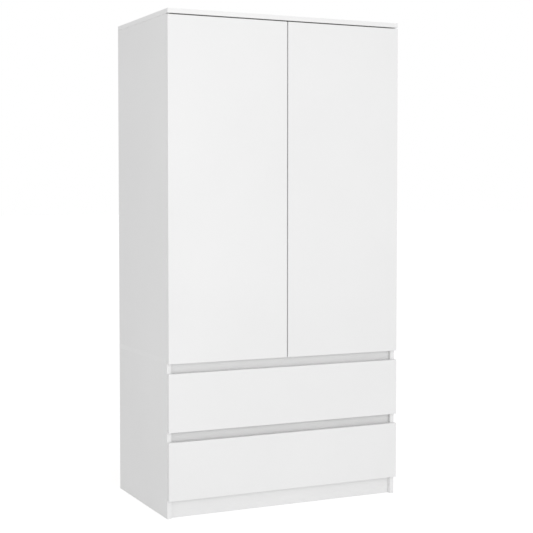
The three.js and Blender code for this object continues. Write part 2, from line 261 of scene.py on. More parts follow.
def glue_line():
    """The hair-thin joint between edging and face."""
    tree = Tree("glue_line")
    tree.feed("Base Color", tree.ramp(tree.noise(300), (0.35, grey(0.5)), (0.65, grey(0.62))))
    tree.set(Roughness=0.6)
    return tree.material


def chipboard():
    """The bare core, where an edge isn't covered."""
    tree = Tree("bare_chipboard")
    shade = tree.noise(120, detail=4, roughness=0.7)
    dark, middle, light = (0.27, 0.17, 0.09), (0.5, 0.36, 0.22), (0.68, 0.53, 0.36)
    tree.feed("Base Color", tree.ramp(shade, (0.25, dark), (0.5, middle), (0.75, light)))
    tree.set(Roughness=0.85)
    tree.bump(tree.cells(420), 0.3 * MM)
    return tree.material


def lacquered_hardboard():
    """The inner face of the back and of the drawer bottoms: white lacquer over fine fibre."""
    tree = Tree("lacquered_hardboard")
    dark, light = grey(0.78, warmth=0.01), grey(0.81, warmth=0.01)
    tree.feed("Base Color", tree.ramp(tree.noise(5, detail=3), (0.3, dark), (0.7, light)))
    tree.feed("Roughness", tree.spread(tree.noise(60, detail=3), 0.5, 0.62))
    tree.bump(tree.noise(520, detail=4, roughness=0.7), 0.03 * MM)
    return tree.material


def bare_hardboard():
    """The outer face of the back: brown pressed fibre, even apart from its fine fibres."""
    tree = Tree("bare_hardboard")
    fibres = tree.noise(1, detail=5, roughness=0.75, place=tree.scaled((700, 700, 190)))
    clouds = tree.noise(2.5, detail=3)
    mottle = tree.nodes.new("ShaderNodeMix")
    mottle.inputs["Factor"].default_value = 0.25
    tree.links.new(fibres, mottle.inputs["A"])
    tree.links.new(clouds, mottle.inputs["B"])
    dark, middle, light = (0.225, 0.142, 0.082), (0.29, 0.19, 0.115), (0.345, 0.235, 0.147)
    shade = mottle.outputs["Result"]
    tree.feed("Base Color", tree.ramp(shade, (0.3, dark), (0.5, middle), (0.7, light)))
    tree.feed("Roughness", tree.spread(fibres, 0.62, 0.85))
    tree.bump(fibres, 0.12 * MM)
    return tree.material


def metal(name, level, rough, warmth=0.0, grain=(40, 900, 40), depth=0.01):
    """Plated steel. Its fine marks run along the axis where grain is smallest."""
    tree = Tree(name)
    marks = tree.noise(1, detail=3, roughness=0.6, place=tree.scaled(grain))
    dark, light = grey(level - 0.05, warmth), grey(level + 0.03, warmth)
    tree.feed("Base Color", tree.ramp(tree.noise(45, detail=3), (0.3, dark), (0.7, light)))
    tree.feed("Roughness", tree.spread(marks, rough * 0.7, rough * 1.35))
    tree.set(Metallic=1.0)
    tree.bump(marks, depth * MM)
    return tree.material


def plastic(name, colour, rough):
    """Moulded plastic, with the mould's fine texture."""
    tree = Tree(name)
    dark = tuple(c * 0.95 for c in colour)
    tree.feed("Base Color", tree.ramp(tree.noise(80), (0.3, dark), (0.7, colour)))
    tree.feed("Roughness", tree.spread(tree.noise(150), rough * 0.85, rough * 1.15))
    tree.bump(tree.noise(1500, detail=1), 0.01 * MM)
    return tree.material


FACE, BAND, GLUE, CORE = range(4)
BOARD = [melamine(), edge_band(), glue_line(), chipboard()]
HARDBOARD = [lacquered_hardboard(), bare_hardboard()]
CHROME = metal("satin_chrome", 0.8, 0.24, grain=(60, 500, 500), depth=0.002)
NICKEL = metal("nickel_plate", 0.66, 0.24, warmth=0.03)
ZINC = metal("zinc_plate", 0.6, 0.34, warmth=-0.02, grain=(500, 30, 500))
BALL_STEEL = metal("ball_steel", 0.72, 0.12, grain=(200, 200, 200), depth=0.001)
RETAINER = plastic("ball_retainer", (0.06, 0.062, 0.066), 0.5)
WHITE_PLASTIC = plastic("white_plastic", (0.82, 0.82, 0.81), 0.4)
BUMPER = plastic("soft_bumper", (0.74, 0.75, 0.76), 0.25)


# ---- Mesh tools ---------------------------------------------------------------------------------

SHARP_ANGLE = 40  # degrees. An edge that turns by more stays sharp.


def piece(name, mesh, body, slot, materials, replaces=()):
    """Puts a mesh that is already in place on its CAD body."""
    obj = bpy.data.objects.new(name, mesh)
    bpy.context.scene.collection.objects.link(obj)
    for material in materials:
        mesh.materials.append(material)
    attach(obj, body)
    if replaces:
        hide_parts(*replaces)
    flatten = obj.modifiers.new("even_normals", "WEIGHTED_NORMAL")
    flatten.keep_sharp = True
    return obj


def finished(bm, name, side="left"):
    """Turns bm into a mesh, mirrored for the right-hand side."""
    if side == "right":
        bmesh.ops.scale(bm, vec=(-1, 1, 1), verts=bm.verts)
    bmesh.ops.recalc_face_normals(bm, faces=bm.faces)
    mesh = bpy.data.meshes.new(name)
    bm.to_mesh(mesh)
    bm.free()
    mesh.shade_smooth()
    mesh.set_sharp_from_angle(angle=math.radians(SHARP_ANGLE))
    return mesh


def combined(mesh, tool, operation="DIFFERENCE", slots=1):
    """The mesh with the tool cut out of it or, with UNION, joined to it.

    slots is how many of the board's materials the two use.
    """
    objects = [bpy.data.objects.new("part", mesh), bpy.data.objects.new("tool", tool)]
    for obj in objects:
        bpy.context.scene.collection.objects.link(obj)
        for material in BOARD[:slots]:
            obj.data.materials.append(material)
    modifier = objects[0].modifiers.new("combine", "BOOLEAN")
    modifier.object = objects[1]
    modifier.operation = operation
    modifier.solver = "EXACT"
    bpy.context.view_layer.update()
    evaluated = objects[0].evaluated_get(bpy.context.evaluated_depsgraph_get())
    result = bpy.data.meshes.new_from_object(evaluated)
    result.materials.clear()
    for obj in objects:
        bpy.data.objects.remove(obj)
    return result


def skin(bm, loops, material=0, wrap=False):
    """Joins rings of points in order. Unless the rings wrap round to the first, both ends are closed."""
    rings = [[bm.verts.new(p) for p in loop] for loop in loops]
    count = len(rings[0])
    following = rings[1:] + (rings[:1] if wrap else [])
    for a, b in zip(rings, following):
        for i in range(count):
            j = (i + 1) % count
            bm.faces.new((a[i], a[j], b[j], b[i])).material_index = material
    if not wrap:
        for ring in (rings[0], rings[-1]):
            bm.faces.new(ring).material_index = material


def turned(bm, base, axis, profile, count=32, material=0, wrap=False):
    """A turned shape. The profile is a list of (radius, distance along the axis from the base)."""
    axis = axis.normalized()
    u = axis.orthogonal().normalized()
    v = axis.cross(u)
    angles = [2 * math.pi * i / count for i in range(count)]

    def ring(radius, along):
        return [base + axis * along + (u * math.cos(a) + v * math.sin(a)) * radius for a in angles]

    skin(bm, [ring(*step) for step in profile], material, wrap)


def rounded(points, radii, steps=4):
    """A closed 2-D outline with each corner rounded by its own radius."""
    outline = []
    for i, (point, radius) in enumerate(zip(points, radii)):
        corner = Vector(point)
        before = (Vector(points[i - 1]) - corner).normalized()
        after = (Vector(points[(i + 1) % len(points)]) - corner).normalized()
        if radius <= 0:
            outline.append(corner)
            continue
        half = before.angle(after) / 2
        centre = corner + (before + after).normalized() * radius / math.sin(half)
        start = corner + before * radius / math.tan(half) - centre
        end = corner + after * radius / math.tan(half) - centre
        turn = -start.angle_signed(end)
        for k in range(steps + 1):
            c, d = math.cos(turn * k / steps), math.sin(turn * k / steps)
            outline.append(centre + Vector((start.x * c - start.y * d, start.x * d + start.y * c)))
    return outline


def pushed(bm, outline, axis, low, high):
    """A 2-D outline pushed along an axis. It is drawn in the other two axes, in their usual order."""
    places = {"x": lambda p, w: (w, *p), "y": lambda p, w: (p[0], w, p[1]), "z": lambda p, w: (*p, w)}
    skin(bm, [[Vector(places[axis](tuple(p), w)) for p in outline] for w in (low, high)])


def same_at_both_ends(profile):
    """The whole profile of a turned shape that is the same at both ends, from its upper half."""
    return [(radius, -along) for radius, along in profile] + profile[::-1]


def channel_outline(web, lip, low, high, wall, bends):
    """A channel's section, its web at web and its two flanges reaching to lip.

    bends gives the radii of its outer corners, of the flanges' tips and of its inner corners.
    """
    inner = web + math.copysign(wall, lip - web)
    corners = [(lip, low), (web, low), (web, high), (lip, high)]
    corners += [(lip, high - wall), (inner, high - wall), (inner, low + wall), (lip, low + wall)]
    outer_bend, tip_bend, inner_bend = bends
    outside = [tip_bend, outer_bend, outer_bend, tip_bend]
    inside = [tip_bend, inner_bend, inner_bend, tip_bend]
    return rounded(corners, outside + inside)


def softened(bm, radius, angle=50):
    """Rounds each edge where the surface turns by more than angle."""
    edges = [e for e in bm.edges if e.is_manifold and math.degrees(e.calc_face_angle(0)) > angle]
    bmesh.ops.bevel(bm, geom=edges, offset=radius, segments=2, profile=0.5, affect="EDGES")


def add_block(bm, low, high, material=0):
    """Adds a plain block between two corners."""
    middle, size = (Vector(low) + Vector(high)) / 2, Vector(high) - Vector(low)
    matrix = Matrix.Translation(middle) @ Matrix.Diagonal((*size, 1))
    made = bmesh.ops.create_cube(bm, size=1, matrix=matrix)
    for face in {f for v in made["verts"] for f in v.link_faces}:
        face.material_index = material


def mesh_of(draw, *args, **kwargs):
    """A mesh from one drawing function, to combine with others."""
    bm = bmesh.new()
    draw(bm, *args, **kwargs)
    return finished(bm, "shape")


def copied(mesh, name, move, side="left"):
    """A copy of a mesh moved along, and mirrored for the right-hand side."""
    bm = bmesh.new()
    bm.from_mesh(mesh)
    bmesh.ops.translate(bm, vec=move, verts=bm.verts)
    return finished(bm, name, side)


# ---- Fasteners and small fittings ---------------------------------------------------------------

SCREW_POINTS = 32  # round a screw head
# Each ring of a fitting is given as shares of its radius and its height, from the foot up.


def screw_head(bm, point, out, radius=3.6 * MM, height=1.1 * MM):
    """A low domed head with a cross recess."""
    out = Vector(out).normalized()
    u = out.orthogonal().normalized()
    v = out.cross(u)
    angles = [2 * math.pi * i / SCREW_POINTS for i in range(SCREW_POINTS)]

    def ring(reach, level, cross=0.0):
        """A ring of the head, pinched in by cross between the four arms of its recess."""
        points = []
        for angle in angles:
            pinch = 1 - cross * (0.5 - 0.5 * math.cos(4 * angle))
            arm = (u * math.cos(angle) + v * math.sin(angle)) * radius * reach * pinch
            points.append(Vector(point) + arm + out * height * level)
        return points

    dome = [ring(0.8, -0.6), ring(1, 0), ring(0.98, 0.35), ring(0.86, 0.7), ring(0.66, 0.94)]
    recess = [ring(0.58, 1.0, 0.6), ring(0.5, 0.3, 0.62), ring(0.3, -0.3, 0.5)]
    skin(bm, dome + recess)


def turned_fitting(bm, point, out, profile, radius, height, count):
    """A turned fitting on a surface, facing out."""
    turned(bm, Vector(point), Vector(out), [(r * radius, h * height) for r, h in profile], count)


def flat_cap(bm, point, out, radius=8.5 * MM, height=1.1 * MM):
    """A push-in cover with a rounded edge and a slightly sunk middle."""
    profile = [(0.97, -0.5), (1, 0), (1, 0.5), (0.96, 0.85), (0.9, 1), (0.72, 1), (0.68, 0.9), (0.2, 0.88)]
    turned_fitting(bm, point, out, profile, radius, height, count=40)


def nail_head(bm, point, out, radius=1.9 * MM, height=0.35 * MM):
    """A low round head."""
    profile = [(1, -1), (1, 0.3), (0.9, 0.8), (0.6, 1), (0.15, 1)]
    turned_fitting(bm, point, out, profile, radius, height, count=16)


def bumper_dot(bm, point, out, radius=5 * MM, height=1.6 * MM):
    """A soft clear dot, flat on top."""
    profile = [(1, 0), (0.99, 0.35), (0.93, 0.7), (0.82, 0.92), (0.68, 1), (0.2, 1)]
    turned_fitting(bm, point, out, profile, radius, height, count=32)


def add_fittings(name, draw, body, slot, material, places, side="left", **size):
    """One piece that holds several like fittings, each at (point, outward direction)."""
    bm = bmesh.new()
    for point, out in places:
        draw(bm, point, out, **size)
    return piece(name, finished(bm, name, side), body, slot, [material])


# ---- Boards -------------------------------------------------------------------------------------

EDGE_RADIUS = 0.5 * MM
FRONT_RADIUS = 0.8 * MM
BAND_WIDTH = 1.0 * MM
GLUE_WIDTH = 0.12 * MM
SEAM_REACH = 0.26 * MM  # how far a side panel reaches across the play at the deck, to a hairline joint
BORE_RADIUS = 17.5 * MM
BORE_DEPTH = 12 * MM
HARDBOARD_RADIUS = 0.3 * MM
GROOVE_PLAY = 0.3 * MM
CAM_INSET = 34 * MM  # from the end of the board that the cam is in
CAM_ROWS = (-0.1, 0.19)  # how far back


def slab(low, high, radius=EDGE_RADIUS, bare=(), seams=(), reach=0.0):
    """A board with rounded, banded edges.

    bare lists the directions in which its edge shows the core, and seams those in which its edge stays
    square and reaches out to the next board.
    """
    for way in seams:
        if sum(way) > 0:
            high = high + way * reach
        else:
            low = low + way * reach
    size = high - low
    thin = min(range(3), key=lambda i: size[i])
    bm = bmesh.new()
    add_block(bm, low, high)

    def faces_any(face, ways):
        return any(face.normal.dot(way) > 0.5 for way in ways)

    for face in bm.faces:
        if abs(face.normal[thin]) > 0.5:
            face.material_index = FACE
        else:
            face.material_index = CORE if faces_any(face, bare) else BAND
    edges = [e for e in bm.edges if not any(faces_any(face, seams) for face in e.link_faces)]
    bmesh.ops.bevel(bm, geom=edges, offset=radius, segments=3, profile=0.5, affect="EDGES", material=BAND)
    flat = [face for face in bm.faces if abs(face.normal[thin]) > 0.99]
    faces = sorted(flat, key=lambda face: face.calc_area())[-2:]

    def is_plain(face):
        """Whether a strip of the face lies beside an edge that isn't banded."""
        middle = face.calc_center_median()
        corners = [(way, high if sum(way) > 0 else low) for way in (*bare, *seams)]
        return any(abs((middle - corner).dot(way)) < 2 * BAND_WIDTH for way, corner in corners)

    for width, material in ((BAND_WIDTH - radius, BAND), (GLUE_WIDTH, GLUE)):
        ring = bmesh.ops.inset_individual(bm, faces=faces, thickness=width, use_even_offset=True)
        for face in ring["faces"]:
            face.material_index = FACE if is_plain(face) else material
    return bm


def add_board(node, tools=(), **looks):
    """The board that stands for a CAD node, with bores or grooves cut by the tools."""
    mesh = finished(slab(*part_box(node), **looks), node)
    for tool in tools:
        mesh = combined(mesh, tool, slots=len(BOARD))
    return piece(node + "_board", mesh, NODES[node]["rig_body"], "white_board", BOARD, [node])


def make_carcass():
    for side in SIDES:
        add_board(f"{side}_side_panel_lower", bare=[Y], seams=[Z], reach=SEAM_REACH)
        add_board(f"{side}_side_panel_upper", bare=[Y], seams=[-Z], reach=SEAM_REACH)
    add_board("top_panel", bare=[Y])
    add_board("deck_panel", bare=[Y], seams=[X, -X])
    for node in ("bottom_panel", "hat_shelf"):
        add_board(node, bare=[X, -X, Y])
    for node in ("plinth_board", "rear_plinth_rail", "lower_groove_rail", "upper_groove_rail"):
        add_board(node, bare=[X, -X])


def make_carcass_fittings():
    """Cam covers under the hat shelf, and inside the sides near the deck and the top."""
    finish = ("carcass", "white_board", WHITE_PLASTIC)
    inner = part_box("left_side_panel_upper")[1].x
    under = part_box("hat_shelf")[0].z
    places = [((s * (-inner - CAM_INSET), y, under), -Z) for s in SIDES.values() for y in CAM_ROWS]
    add_fittings("hat_shelf_cam_covers", flat_cap, *finish, places)
    deck_low, deck_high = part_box("deck_panel")
    top_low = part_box("top_panel")[0]
    levels = (deck_low.z - CAM_INSET, deck_high.z + CAM_INSET, top_low.z - CAM_INSET)
    places = [((inner, y, z), X) for z in levels for y in CAM_ROWS]
    for side in SIDES:
        add_fittings(f"{side}_side_cam_covers", flat_cap, *finish, places, side)


# ---- Back ---------------------------------------------------------------------------------------

NAIL_STEP = 0.15
NAIL_INSET = 7 * MM


def add_sheet(node, name, inner):
    """A hardboard sheet: lacquered on the face towards inner, brown on the rest."""
    bm = bmesh.new()
    add_block(bm, *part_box(node))
    for face in bm.faces:
        face.material_index = 0 if face.normal.dot(inner) > 0.5 else 1
    size = {"offset": HARDBOARD_RADIUS, "segments": 2, "profile": 0.5}
    bmesh.ops.bevel(bm, geom=bm.edges[:], affect="EDGES", material=1, **size)
    return piece(name, finished(bm, name), NODES[node]["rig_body"], "hardboard", HARDBOARD, [node])


def spaced(low, high):
    """Places for nails, in even steps from low to high."""
    count = round((high - low) / NAIL_STEP)
    return [low + (high - low) * i / count for i in range(count + 1)]


def make_back():
    """Two sheets, nailed along the sides and along the boards behind which they lie."""
    shelves = {
        "back_panel_lower": ("bottom_panel", "deck_panel"),
        "back_panel_upper": ("deck_panel", "hat_shelf", "top_panel"),
    }
    for node, boards in shelves.items():
        add_sheet(node, node.replace("panel", "sheet"), -Y)
        low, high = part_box(node)
        edge = low.x + NAIL_INSET
        heights = spaced(low.z + 2 * NAIL_INSET, high.z - 2 * NAIL_INSET)
        points = [(x, high.y, z) for z in heights for x in (edge, -edge)]
        for board in boards:
            board_low, board_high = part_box(board)
            middle = (board_low.z + board_high.z) / 2
            # Both sheets are nailed to the deck panel, each with its nails on its own side of the joint.
            z = min(max(middle, low.z + NAIL_INSET / 2), high.z - NAIL_INSET / 2)
            points += [(x, high.y, z) for x in spaced(edge, -edge)[1:-1]]
        places = [(point, Y) for point in points]
        add_fittings(node + "_nails", nail_head, "carcass", "slide_steel", ZINC, places)


# ---- Hinges -------------------------------------------------------------------------------------

HINGE_LEVELS = ("lower", "middle", "upper")
CUP_POINTS = 144  # round the cup
# The cup's section: (radius, depth below its mouth) in mm, from the middle of its underside to its flange,
# and from its lip to the middle of its floor
CUP_OUTSIDE = [(1, 11.5), (15.4, 11.5), (16.6, 11.1), (17.1, 10), (17.1, 0.9)]
CUP_LIP = [(17, 0), (16.6, 0.1), (16.2, 0.5), (16.1, 1.2)]
CUP_INSIDE = [(16.1, 8.6), (15.6, 9.8), (14.4, 10.4), (10.5, 10.5), (9.8, 9.9), (1, 9.9)]
CUP_FLANGE = [(0.2, 0.9), (0, 0.6), (0.05, 0.25), (0.35, 0)]  # (inset from its outline, depth) in mm
CUP_RIM = 18.6 * MM
CUP_WING_END = 24.5 * MM  # middle of a wing's round end, where its screw is
CUP_WING_HALF = 6.5 * MM
LINK_SWING = 110.7  # degrees, from how the route is drawn to the closed door
LINK_HALF = 5 * MM
LINK_THICK = 4 * MM
LINK_CORNER = 0.5 * MM
LINK_ROUTE = [(0, 0), (1.6, -12), (1.8, -21), (-2.5, -30), (-9, -34)]  # in mm, from the pin
LINK_STEPS = 8  # between two points of the route
EYE_RADIUS = 3.8 * MM
EYE_PLAY = 0.4 * MM  # round the pin
EYE_CORNER = 0.4 * MM
PIN_RADIUS = 1.5 * MM
ARM_HALF = 6.5 * MM
ARM_WEB = 9 * MM  # the web's outer face, from the pin
ARM_FLANGE = 14 * MM
ARM_THROAT = 15 * MM  # where the web begins
ARM_TIP = -3.8 * MM  # front end of the cheeks
ARM_BACK = 60.2 * MM
ARM_CORNER = 0.25 * MM
ARM_BENDS = (1.8 * MM, 0, 0.7 * MM)  # at the outer corners, the flanges' tips and the inner corners
CHEEK_BENDS = (3.4 * MM, 5 * MM, 0, 0)
CHEEK_OVERLAP = 2 * MM  # with the channel, so that they become one
PLATE_HALF = 25 * MM
PLATE_BODY = 9 * MM  # half of its height in front of the wings and behind them
PLATE_SHOULDER = 11 * MM  # half of its height at the foot of the wings
PLATE_WING = (11 * MM, 13 * MM, 29 * MM, 31 * MM)  # from its front: where the wings' two slopes start and end
PLATE_BENDS = (3 * MM, 4 * MM, 5 * MM, 5 * MM, 4 * MM, 3 * MM)
PLATE_CORNER = 0.35 * MM
PLATE_LENGTH = 42 * MM
PLATE_THICK = 2 * MM
PLATE_SCREWS = 16 * MM  # above and below the pin's height
SPACER_INSET = 8 * MM
WEB_SCREWS = (23 * MM, 52 * MM)  # adjusting screws, from the pin
PIN_HEAD = 2.6 * MM
PIN_HEAD_EDGE = 0.2 * MM
PIN_HEAD_THICK = 0.5 * MM


def flange_reach(angle):
    """How far the cup's flange reaches in a direction, measured from its long axis."""
    along, across = abs(math.cos(angle)), abs(math.sin(angle))
    straight = CUP_WING_HALF / max(across, 1e-6)
    if straight * along <= CUP_WING_END:
        return max(CUP_RIM, straight)
    inside = max(CUP_WING_HALF**2 - (CUP_WING_END * across) ** 2, 0)
    return max(CUP_RIM, CUP_WING_END * along + math.sqrt(inside))


def hinge_cup(bm):
    """A pressed cup about the origin. Its mouth faces +Y, and its flange carries two screwed wings."""
    angles = [2 * math.pi * i / CUP_POINTS for i in range(CUP_POINTS)]

    def ring(radii, depth):
        return [Vector((r * math.sin(a), -depth * MM, r * math.cos(a))) for r, a in zip(radii, angles)]

    def round_ring(radius, depth):
        return ring([radius * MM] * CUP_POINTS, depth)

    def flange_ring(inset, depth):
        return ring([flange_reach(a) - inset * MM for a in angles], depth)

    outside = [round_ring(*step) for step in CUP_OUTSIDE]
    flange = [flange_ring(*step) for step in CUP_FLANGE]
    inside = [round_ring(*step) for step in CUP_LIP + CUP_INSIDE]
    skin(bm, outside + flange + inside)


def link_outline():
    """The bent strip of the link about its pin, as it lies with the door closed."""
    points = [Vector(p) * MM for p in LINK_ROUTE]
    points = [2 * points[0] - points[1], *points, 2 * points[-1] - points[-2]]
    centre, way = [], []
    for i in range(1, len(points) - 2):
        a, b, c, d = points[i - 1 : i + 3]
        slope, bend, twist = c - a, 2 * a - 5 * b + 4 * c - d, 3 * b - a - 3 * c + d
        for k in range(LINK_STEPS):
            t = k / LINK_STEPS
            centre.append(b + 0.5 * (slope * t + bend * t**2 + twist * t**3))
            way.append(slope + 2 * bend * t + 3 * twist * t**2)
    centre.append(points[-2])
    way.append(points[-2] - points[-3])
    across = [Vector((-w.y, w.x)).normalized() * LINK_THICK / 2 for w in way]
    strip = list(zip(centre, across))[LINK_STEPS // 2 :]  # it begins inside the eye
    outline = [c + n for c, n in strip] + [c - n for c, n in reversed(strip)]
    turn = Matrix.Rotation(math.radians(LINK_SWING), 2)
    return [turn @ p for p in outline]


def hinge_link():
    """The link, its eye round the pin at the origin."""
    bm = bmesh.new()
    pushed(bm, link_outline(), "z", -LINK_HALF, LINK_HALF)
    softened(bm, LINK_CORNER)
    strip = finished(bm, "strip")
    half, hole, corner = LINK_HALF, PIN_RADIUS + EYE_PLAY, EYE_CORNER
    profile = [
        (hole, half - corner),
        (hole + corner, half),
        (EYE_RADIUS - corner, half),
        (EYE_RADIUS, half - corner),
    ]
    eye = mesh_of(turned, Vector(), Z, same_at_both_ends(profile), count=40, wrap=True)
    return combined(eye, strip, "UNION")


def arm_channel():
    """The arm's channel, behind its throat."""
    bm = bmesh.new()
    edge = ARM_WEB - ARM_FLANGE
    outline = channel_outline(ARM_WEB, edge, -ARM_HALF, ARM_HALF, STEEL, ARM_BENDS)
    pushed(bm, outline, "y", ARM_THROAT, ARM_BACK)
    softened(bm, ARM_CORNER, angle=70)
    return finished(bm, "channel")


def arm_cheek(low):
    """The front end of one of the channel's flanges, beside the link."""
    edge, root = ARM_WEB - ARM_FLANGE, ARM_THROAT + CHEEK_OVERLAP
    corners = [(edge, ARM_TIP), (ARM_WEB, ARM_TIP), (ARM_WEB, root), (edge, root)]
    bm = bmesh.new()
    pushed(bm, rounded(corners, CHEEK_BENDS, steps=8), "z", low, low + STEEL)
    softened(bm, ARM_CORNER, angle=70)
    return finished(bm, "cheek")


def arm_plate(foot):
    """The mounting plate, with a wing above and one below. foot is where it meets the side panel."""
    front = ARM_BACK - PLATE_LENGTH
    heights = (PLATE_SHOULDER, PLATE_HALF, PLATE_HALF, PLATE_SHOULDER)
    slopes = [(front + along, -height) for along, height in zip(PLATE_WING, heights)]
    lower = [(front, -PLATE_BODY), *slopes, (ARM_BACK, -PLATE_BODY)]
    upper = [(y, -z) for y, z in reversed(lower)]
    bm = bmesh.new()
    pushed(bm, rounded(lower + upper, PLATE_BENDS * 2), "x", foot, foot + PLATE_THICK)
    softened(bm, PLATE_CORNER, angle=60)
    return finished(bm, "plate")


def arm_spacer(foot):
    """The block that joins the channel to its plate, sunk into both."""
    half = ARM_HALF - STEEL / 2
    start = ARM_BACK - PLATE_LENGTH + SPACER_INSET
    low = (foot + PLATE_THICK / 2, start, -half)
    high = (ARM_WEB - STEEL / 2, ARM_BACK - SPACER_INSET, half)
    return mesh_of(add_block, low, high)


def arm_pin():
    """The link's pin, with a low head outside either cheek."""
    profile = [
        (PIN_HEAD * 0.6, ARM_HALF + PIN_HEAD_THICK),
        (PIN_HEAD, ARM_HALF + PIN_HEAD_EDGE),
        (PIN_HEAD, ARM_HALF),
        (PIN_RADIUS, ARM_HALF),
    ]
    return mesh_of(turned, Vector(), Z, same_at_both_ends(profile), count=24)


def hinge_arm():
    """The arm about its pin at the origin: a channel with two cheeks, on a spacer and a winged plate."""
    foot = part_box("left_lower_hinge_arm")[0].x - link_pin("left").x
    arm = arm_channel()
    cheeks = [arm_cheek(low) for low in (-ARM_HALF, ARM_HALF - STEEL)]
    for part in (*cheeks, arm_plate(foot), arm_spacer(foot), arm_pin()):
        arm = combined(arm, part, "UNION")
    return arm


def link_pin(side):
    """Where the axis runs that a side's links turn about."""
    joint = next(j for j in frame["joints"] if j["name"] == f"{side}_hinge_link_pivot")
    return Vector(joint["pos_m"])


def make_hinges():
    """The cup, link, arm and screws of each hinge, drawn once on the left and mirrored."""
    cup, link, arm = mesh_of(hinge_cup), hinge_link(), hinge_arm()
    pin = link_pin("left")
    for level in HINGE_LEVELS:
        low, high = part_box(f"left_{level}_hinge_cup")
        middle = (low + high) / 2
        mouth = Vector((middle.x, high.y, middle.z))
        eye = Vector((pin.x, pin.y, middle.z))
        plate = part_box(f"left_{level}_hinge_arm")[0].x + PLATE_THICK
        plate_middle = eye.y + ARM_BACK - PLATE_LENGTH / 2
        wings = [(mouth + Z * s * CUP_WING_END, Y) for s in (-1, 1)]
        plate_screws = [((plate, plate_middle, middle.z + s * PLATE_SCREWS), X) for s in (-1, 1)]
        web_screws = [((eye.x + ARM_WEB, eye.y + y, middle.z), X) for y in WEB_SCREWS]
        for side in SIDES:
            name = f"{side}_{level}_hinge"
            door, links = f"{side}_door", f"{side}_hinge_links"
            nickel = ("nickel_steel", [NICKEL])
            piece(f"{name}_cup_shell", copied(cup, name, mouth, side), door, *nickel, [f"{name}_cup"])
            piece(f"{name}_link_bar", copied(link, name, eye, side), links, *nickel, [f"{name}_link"])
            piece(f"{name}_arm_body", copied(arm, name, eye, side), "carcass", *nickel, [f"{name}_arm"])
            fixing = ("nickel_steel", NICKEL)
            screws = plate_screws + web_screws
            add_fittings(name + "_cup_screws", screw_head, door, *fixing, wings, side)
            add_fittings(name + "_arm_screws", screw_head, "carcass", *fixing, screws, side)


# ---- Doors --------------------------------------------------------------------------------------

BUMPER_INSET = 9 * MM
BUMPER_OFF_MIDDLE = 8 * MM  # further in, at the edge where the doors meet


def cup_bores(side, back):
    """The tools that bore a hole for each cup in the door's back."""
    tools = []
    for level in HINGE_LEVELS:
        low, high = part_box(f"{side}_{level}_hinge_cup")
        middle = (low + high) / 2
        floor = Vector((middle.x, back - BORE_DEPTH, middle.z))
        profile = [(BORE_RADIUS, 0), (BORE_RADIUS, BORE_DEPTH + MM)]
        tools.append(mesh_of(turned, floor, Y, profile, count=64, material=CORE))
    return tools


def make_doors():
    """The doors, and three bumpers on each: one at the meeting edge and two near the hinges."""
    deck_low, deck_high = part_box("deck_panel")
    for side, sign in SIDES.items():
        node = f"{side}_door_panel"
        low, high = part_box(node)
        add_board(node, cup_bores(side, high.y), radius=FRONT_RADIUS)
        inner = sign * (BUMPER_INSET + BUMPER_OFF_MIDDLE)
        outer = sign * (max(-low.x, high.x) - BUMPER_INSET)
        places = [
            (inner, (deck_low.z + deck_high.z) / 2),
            (outer, deck_high.z + 3 * BUMPER_INSET),
            (outer, high.z - 2 * BUMPER_INSET),
        ]
        dots = [((x, high.y, z), Y) for x, z in places]
        add_fittings(f"{side}_door_bumpers", bumper_dot, f"{side}_door", "white_board", BUMPER, dots)


# ---- Hanging rail -------------------------------------------------------------------------------

OVAL_STEPS = 24  # round each end of an oval
RAIL_WALL = 1.2 * MM
RAIL_LIP = 0.35 * MM  # the bevel round its cut ends
SOCKET_PLAY = 0.3 * MM  # round the rail
SOCKET_WALL = 2.5 * MM  # the collar's outer face, from the rail
SOCKET_CORNER = 0.5 * MM
SOCKET_FILLET = 1 * MM  # where the collar meets the plate
SOCKET_PLATE = 3 * MM
SOCKET_SCREWS = 23.5 * MM  # above and below the rail's middle


def oval(centre, wide, high):
    """An upright oval with round ends, as points in Y and Z."""
    r, straight = wide / 2, (high - wide) / 2
    points = []
    for end in (1, -1):
        for k in range(OVAL_STEPS + 1):
            angle = math.pi * k / OVAL_STEPS
            y, z = r * math.cos(angle), straight + r * math.sin(angle)
            points.append((centre.y + end * y, centre.z + end * z))
    return points


def make_hanging_rail():
    """An oval tube, open at its ends, in its two sockets."""
    low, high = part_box("hanging_rail")
    middle = (low + high) / 2
    wide, tall = high.y - low.y, high.z - low.z

    def ring(x, inset):
        return [Vector((x, y, z)) for y, z in oval(middle, wide - 2 * inset, tall - 2 * inset)]

    bm = bmesh.new()
    left = [ring(low.x, RAIL_WALL), ring(low.x, RAIL_LIP), ring(low.x + RAIL_LIP, 0)]
    right = [ring(high.x - RAIL_LIP, 0), ring(high.x, RAIL_LIP), ring(high.x, RAIL_WALL)]
    skin(bm, left + right, wrap=True)
    name = "hanging_rail_tube"
    piece(name, finished(bm, name), "carcass", "rail_chrome", [CHROME], ["hanging_rail"])
    make_rail_sockets(middle, wide, tall)


